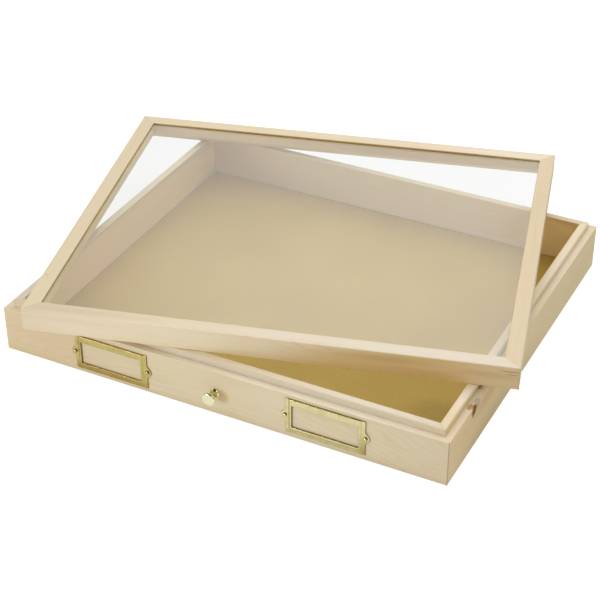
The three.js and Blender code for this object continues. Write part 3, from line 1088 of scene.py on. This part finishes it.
def holderHeight(points, s, darkReflectionOval):
    # Front face above the wood: the flange's sheet, plus a smooth step up to the raised part.
    # Painted shade and dark reflection are a hump over the step, 16 t²(1 - t)², less on the right side,
    # joined by a band along the bottom and a darker oval about the lower edge.
    halfW, halfH = s["width"] / 2, s["height"] / 2
    inX = halfW - s["flange"] - np.abs(points[..., 0])
    inY = points[..., 1] + halfH - s["flange"]
    r = s["cornerRound"]
    corner = r - np.hypot(np.minimum(inX - r, 0), np.minimum(inY - r, 0))
    inside = np.where((inX < r) & (inY < r), corner, np.minimum(inX, inY))  # from the raised part's foot
    t = np.clip(inside / s["shoulder"], 0, 1)
    hump = 16 * t**2 * (1 - t) ** 2
    hump = np.where((inX < inY) & (points[..., 0] > 0), hump * s["rightHump"], hump)
    away = np.hypot((points[..., 0] - darkReflectionOval[0]) / darkReflectionOval[1], (points[..., 1] + halfH) / darkReflectionOval[2])
    inFull, ends = s["lowerBand"]
    lower = s["lowerShade"] * smoothStep((ends - inY) / (ends + inFull))
    darkReflection = s["darkReflectionShare"] * smoothStep(s["darkReflectionReach"] - away)
    shade = np.maximum(np.maximum(hump, lower), darkReflection)
    return s["sheet"] + (s["front"] - s["sheet"]) * smoothStep(t), shade


def makeLabelHolder(side):
    # The raised part's closed loops, then the flange's open ones on three sides, as one sheet
    s = holderShape
    node = "label_holder_" + side
    window, foot, outline, sides = holderColumns(s)
    inner = np.linspace(0, 1, s["rings"][0])[:, None, None]
    outer = np.linspace(0, 1, s["rings"][1] + 1)[1:, None, None]
    ring = window + (foot - window) * inner
    flange = foot[:sides] + (outline - foot)[:sides] * outer
    columns = len(window)
    ringPoints = ring.reshape(-1, 2)
    flangePoints = flange.reshape(-1, 2)
    flat = np.vstack([ringPoints, flangePoints])
    height, shade = holderHeight(flat, s, holderBrass[side]["darkReflectionOval"])
    faces = gridFaces(len(inner), columns, closedColumns=True)
    first = (len(inner) - 1) * columns
    start = len(ringPoints)
    rest = start + np.arange(len(outer) * sides).reshape(-1, sides)
    number = np.vstack([np.arange(first, first + sides), rest])
    a, b, c, d = number[:-1, :-1], number[1:, :-1], number[1:, 1:], number[:-1, 1:]
    faces += np.stack([a, b, c, d], -1).reshape(-1, 4).tolist()
    points = np.stack([flat[:, 0], -height, flat[:, 1]], -1) + onFront(node)
    holder = makePiece(
        "labelHolder" + side.capitalize(), node, points, faces,
        makeBrass("holderBrass" + side.capitalize(), holderBrass[side]), smoothAngle=60)
    addValues(holder, "shade", shade)
    gauge = holder.modifiers.new("gauge", "SOLIDIFY")
    gauge.thickness = s["sheet"]
    gauge.offset = -1
    gauge.use_even_offset = True
    softenEdges(holder, s["edgeRound"], 2)
    return holder


def turnedPiece(name, node, profile, material, steps):
    # The profile (radius, height) is turned about an axis that comes out of the front:
    # x = r cos a, z = r sin a, y = -height, with a closing point on the axis at each end
    profile = np.asarray(profile, float)
    angle = np.linspace(0, 2 * math.pi, steps, endpoint=False)[None, :]
    r, h = profile[1:-1, 0][:, None], profile[1:-1, 1][:, None]
    grid = np.stack([r * np.cos(angle), -h + 0 * angle, r * np.sin(angle)], -1)
    rows = len(profile) - 2
    ends = np.array([[0, -profile[0, 1], 0], [0, -profile[-1, 1], 0]])
    points = np.vstack([grid.reshape(-1, 3), ends]) + onFront(node)
    j = np.arange(steps)
    jNext = (j + 1) % steps
    last = (rows - 1) * steps
    foot = np.stack([np.full(steps, rows * steps), jNext, j], -1).tolist()
    tip = np.stack([np.full(steps, rows * steps + 1), last + j, last + jNext], -1).tolist()
    faces = gridFaces(rows, steps, closedColumns=True) + foot + tip
    piece = makePiece(name, node, points, faces, material, smoothAngle=50)
    faceOut(piece)
    return piece


def makePins():
    # Dome with a short upright rim: r = radius cos a, height = rim + (height - rim) sin a
    s = pinShape
    angle = np.linspace(0, math.pi / 2, s["domeSteps"])
    dome = np.stack([s["radius"] * np.cos(angle), s["rim"] + (s["height"] - s["rim"]) * np.sin(angle)], -1)
    profile = np.vstack([[0, 0], [s["radius"] * s["foot"], 0], dome])
    for side in ("left", "right"):
        brass = makeBrass("pinBrass" + side.capitalize(), {**holderBrass[side], "tarnish": s["tarnish"]})
        for end in ("left", "right"):
            node = "label_holder_" + side + "_pin_" + end
            turnedPiece("pin" + side.capitalize() + end.capitalize(), node, profile, brass, s["steps"])


# Foot and body: radius at each height above the wood, in mm
knobShape = {
    "foot": [(5.0, 0.0), (5.3, 0.25), (5.3, 0.75), (5.0, 1.1)],
    "body": [
        (4.5, 1.6), (3.8, 2.9), (3.45, 4.6), (3.7, 6.4), (4.8, 8.1), (6.3, 9.6), (6.95, 10.7), (7.1, 11.7),
        (6.92, 12.7), (6.2, 13.4), (4.6, 13.78), (2.3, 13.95), (0.0, 14.0),
    ],
    "bright": (0.920, 0.900, 0.600, 1), "deep": (0.700, 0.560, 0.200, 1),
    "shade": (0.74, 0.63, 0.40, 1), "tarnish": 0.15, "glossLoss": 0.03, "bump": 0.03,
    "neck": (1.3 * mm, 8.2 * mm),  # painted dark reflection between these heights, fading at both ends
    "fades": (6, 3),
    "bodySteps": 6,  # from one of the body's points to the next
    "steps": 72,
}


def makeKnob():
    # Flanged foot, waisted neck and a flattened head with a rounded rim
    s = knobShape
    profile = np.vstack([[(0, 0)], s["foot"], throughPoints(s["body"], s["bodySteps"])]) * mm
    knob = turnedPiece("turnedKnob", "drawer_knob", profile, makeBrass("knobBrass", s), s["steps"])
    places = np.zeros(len(knob.data.vertices) * 3)
    knob.data.vertices.foreach_get("co", places)
    t = (knobHigh.y - places[1::3] - s["neck"][0]) / (s["neck"][1] - s["neck"][0])
    addValues(knob, "shade", smoothStep(t * s["fades"][0]) * smoothStep((1 - t) * s["fades"][1]))


for side in ("left", "right"):
    makeLabelHolder(side)
makePins()
makeKnob()
print("brassware built")


studio = {
    "floorSize": 16.0,
    "floorDrop": 0.2 * mm,
    "floorGlow": 0.90,  # what the camera sees
    "floorShade": 0.28,
    "floorPale": (0.32, 0.32, 0.32, 1),  # what the object is lit by
    "floorMirrored": 0.18,  # added in what brass mirrors and the pane shows
    "floorBounce": 0.38,
    "frontBounce": 0.02,  # added in front of the drawer
    "frontWay": (-0.45, -0.89, 0.0),
    "frontFrom": (-0.15, 0.35),
    "low": 0.26,  # surroundings near the horizon
    "domeBack": 1.01,  # added from about 30 degrees up, behind and in front of the object
    "domeFront": 0.35,
    "domeFrom": (0.20, 0.60),
    "darkZenith": 0.95,
    "zenithFrom": (0.62, 0.80),
    "overhead": (-0.45, 0.35),  # where the dome goes from its front value to its back value
}
white = (1, 1, 1, 1)

# A wide softbox behind and above, with soft edges. Across is to its right as the camera sees it.
backLight = {
    "azimuth": 26.94,
    "strength": 0.84,
    "frontEdge": (-0.1, 0.2),
    "leftEdge": (-0.20, 0.02),
    "rightEdge": (0.55, 0.20),
    "lowerEdge": (0.34, 0.66),
    "upperEdge": (0.99, 0.93),
}

softboxes = {
    "leftFront": {"place": (-0.98, -1.95, 0.34), "size": (0.75, 0.55), "radiance": 10.4},
    "rightFront": {"place": (1.9, -1.7, 1.9), "size": (1.5, 1.3), "radiance": 0.55},
}


def alongWay(tree, vector, way):
    dot = put(tree, "VectorMath", {0: vector, 1: way}, operation="DOT_PRODUCT")
    return dot.outputs["Value"]


def glow(tree, kind, strength):
    return put(tree, kind, {"Color": white, "Strength": strength}).outputs[0]


def makeFloor():
    # Pale for the light that it throws back, and plain white with a trace of shade for the camera
    half = studio["floorSize"] / 2
    corners = [(x * half, y * half, -studio["floorDrop"]) for x, y in ((-1, -1), (1, -1), (1, 1), (-1, 1))]
    mesh = bpy.data.meshes.new("floor")
    mesh.from_pydata(corners, [], [(0, 1, 2, 3)])
    material, tree = newMaterial("paleFloor")
    lit = put(tree, "BsdfDiffuse", {"Color": studio["floorPale"]})
    place = put(tree, "TexCoord").outputs["Object"]
    rise = remap(tree, alongWay(tree, place, studio["frontWay"]), *studio["frontFrom"])
    strength = scaled(tree, rise, studio["frontBounce"], studio["floorBounce"])
    path = put(tree, "LightPath").outputs
    indirect = calc(tree, "MAXIMUM", path["Is Glossy Ray"], path["Is Transmission Ray"])
    strength = scaled(tree, indirect, studio["floorMirrored"], strength)
    bounce = glow(tree, "Emission", strength)
    pale = put(tree, "AddShader", {0: lit.outputs[0], 1: bounce})
    shade = put(tree, "BsdfDiffuse", {"Color": (studio["floorShade"],) * 3 + (1,)})
    shine = glow(tree, "Emission", studio["floorGlow"])
    seen = put(tree, "AddShader", {0: shade.outputs[0], 1: shine})
    mix = put(tree, "MixShader", {0: path["Is Camera Ray"], 1: pale.outputs[0], 2: seen.outputs[0]})
    mesh.materials.append(finishMaterial(material, tree, mix))
    floor = bpy.data.objects.new("floor", mesh)
    bpy.context.scene.collection.objects.link(floor)


def makeSurround():
    # Radiance by direction: low + dome * rise(up) + back light * its four soft edges, where the
    # dome goes from its front value to its back value. Brass mirrors a dark ceiling.
    # Past the floor's edge the camera sees plain white.
    world = bpy.data.worlds.new("surround")
    bpy.context.scene.world = world
    world.use_nodes = True
    tree = world.node_tree
    tree.nodes.clear()
    direction = put(tree, "TexCoord").outputs["Generated"]
    up = put(tree, "SeparateXYZ", {0: direction}).outputs[2]
    azimuth = math.radians(backLight["azimuth"])
    across = alongWay(tree, direction, (math.cos(azimuth), math.sin(azimuth), 0))
    behind = alongWay(tree, direction, (-math.sin(azimuth), math.cos(azimuth), 0))
    box = remap(tree, behind, *backLight["frontEdge"])
    for value, edge in ((across, "leftEdge"), (across, "rightEdge"), (up, "lowerEdge"), (up, "upperEdge")):
        box = times(tree, box, remap(tree, value, *backLight[edge]))
    overhead = remap(tree, behind, *studio["overhead"], studio["domeFront"], studio["domeBack"])
    dome = scaled(tree, remap(tree, up, *studio["domeFrom"]), overhead, studio["low"])
    strength = scaled(tree, box, backLight["strength"], dome)
    path = put(tree, "LightPath").outputs
    aloft = times(tree, remap(tree, up, *studio["zenithFrom"]), path["Is Glossy Ray"])
    mirrored = scaled(tree, aloft, -studio["darkZenith"], 1.0)
    light = glow(tree, "Background", times(tree, strength, mirrored))
    plain = glow(tree, "Background", 1.0)
    mix = put(tree, "MixShader", {0: path["Is Camera Ray"], 1: light, 2: plain})
    tree.links.new(mix.outputs[0], put(tree, "OutputWorld").inputs["Surface"])


def makeSoftbox(name, box):
    # A Lambertian rectangle of radiance L gives pi * L * area watts
    width, height = box["size"]
    data = bpy.data.lights.new(name, "AREA")
    data.shape = "RECTANGLE"
    data.size = width
    data.size_y = height
    data.energy = math.pi * box["radiance"] * width * height
    light = bpy.data.objects.new(name, data)
    away = Vector(box["place"])
    light.matrix_world = Matrix.Translation(away) @ away.to_track_quat("Z", "Y").to_matrix().to_4x4()
    light.visible_camera = False
    bpy.context.scene.collection.objects.link(light)


makeFloor()
makeSurround()
for name, box in softboxes.items():
    makeSoftbox(name, box)
bpy.context.scene.view_settings.view_transform = "Standard"
bpy.context.scene.view_settings.look = "None"
print("stage and light built")

bpy.context.view_layer.update()
